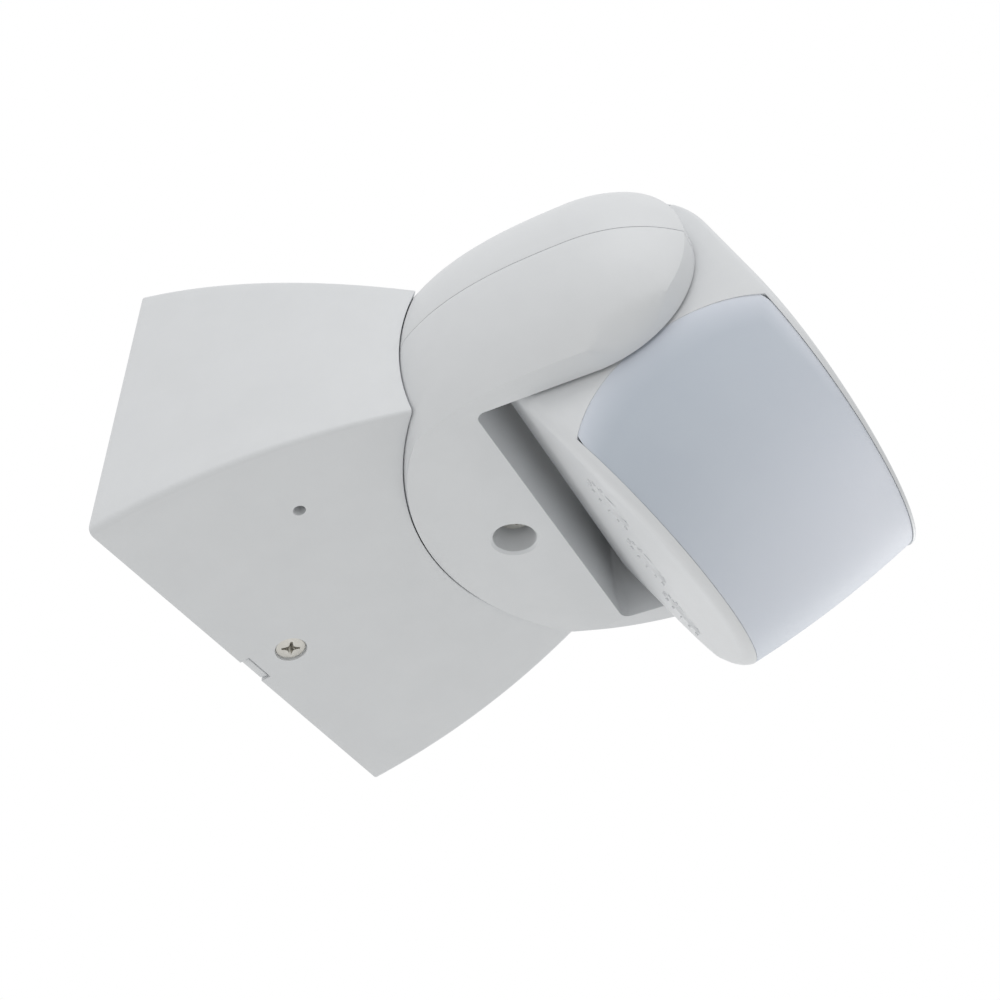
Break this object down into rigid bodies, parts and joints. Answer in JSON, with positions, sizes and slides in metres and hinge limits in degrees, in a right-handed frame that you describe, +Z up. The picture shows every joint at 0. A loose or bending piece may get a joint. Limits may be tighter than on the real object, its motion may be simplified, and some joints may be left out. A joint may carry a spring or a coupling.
{
  "type": "outdoor motion sensor",
  "caption": "Wall-mounted passive infrared motion sensor: tapered base, yoke that pans in a round seat, and a round-nosed lens head that tilts in the yoke.",
  "frame": {"origin": "centre of the mounting plate's back face, on the wall", "axes": "+Y into the wall, -Y out of the wall to the front, +Z up, X along the wall"},
  "size_m": [0.09, 0.1178, 0.0782],
  "materials": {
    "housing_plastic": "fine satin moulding, light grey-white",
    "lens_plastic": "milky translucent polyethylene",
    "inner_plastic": "plain dark moulding",
    "terminal_plastic": "natural nylon",
    "rubber": "matt black",
    "steel": "zinc plated",
    "brass": "turned",
    "board": "solder-masked laminate",
    "relay_blue": "moulded case",
    "film_yellow": "moulded case",
    "led_red": "tinted clear resin"
  },
  "bodies": {
    "base": {"mounting_plate": "inner_plastic", "base_cover": "housing_plastic", "cover_seal": "rubber", "cable_grommet": "rubber", "terminal_block": "terminal_plastic", "terminal_screw_1": "steel", "terminal_screw_2": "steel", "terminal_screw_3": "steel", "cover_screw": "steel"},
    "yoke": {"yoke_lower_shell": "housing_plastic", "yoke_upper_shell": "housing_plastic", "swivel_stud": "brass", "swivel_shoe": "inner_plastic", "swivel_washer": "steel", "swivel_nut": "brass", "clamp_screw": "steel", "clamp_insert": "brass", "tilt_pivot_left": "steel", "tilt_pivot_right": "steel", "tilt_washer_left": "steel", "tilt_washer_right": "steel", "tilt_nut_left": "steel", "tilt_nut_right": "steel"},
    "head": {"head_front_case": "housing_plastic", "head_rear_cover": "housing_plastic", "fresnel_lens": "lens_plastic", "main_pcb": "board", "pir_detector": "steel", "daylight_sensor": "lens_plastic", "status_led": "led_red", "relay": "relay_blue", "film_capacitor": "film_yellow", "electrolytic_capacitor": "inner_plastic", "control_pcb": "board", "lux_pot": "inner_plastic", "time_pot": "inner_plastic", "range_pot": "inner_plastic", "rear_screw_left": "steel", "rear_screw_right": "steel", "pcb_screw_left": "steel", "pcb_screw_right": "steel"},
    "lux_dial_body": {"lux_dial": "housing_plastic"},
    "time_dial_body": {"time_dial": "housing_plastic"},
    "range_dial_body": {"range_dial": "housing_plastic"}
  },
  "joints": [
    {"name": "yoke_pan", "type": "hinge", "parent": "base", "child": "yoke", "pos_m": [0, -0.0815, 0], "axis": [0, 0, 1], "range_deg": [-25, 25]},
    {"name": "head_tilt", "type": "hinge", "parent": "yoke", "child": "head", "pos_m": [0, -0.0815, 0], "axis": [1, 0, 0], "range_deg": [-63.5, 25]},
    {"name": "lux_turn", "type": "hinge", "parent": "head", "child": "lux_dial_body", "pos_m": [-0.016, -0.07697, -0.03187], "axis": [0, 0.8661, -0.4998], "range_deg": [-135, 135]},
    {"name": "time_turn", "type": "hinge", "parent": "head", "child": "time_dial_body", "pos_m": [0, -0.07697, -0.03187], "axis": [0, 0.8661, -0.4998], "range_deg": [-135, 135]},
    {"name": "range_turn", "type": "hinge", "parent": "head", "child": "range_dial_body", "pos_m": [0.016, -0.07697, -0.03187], "axis": [0, 0.8661, -0.4998], "range_deg": [-135, 135]}
  ]
}
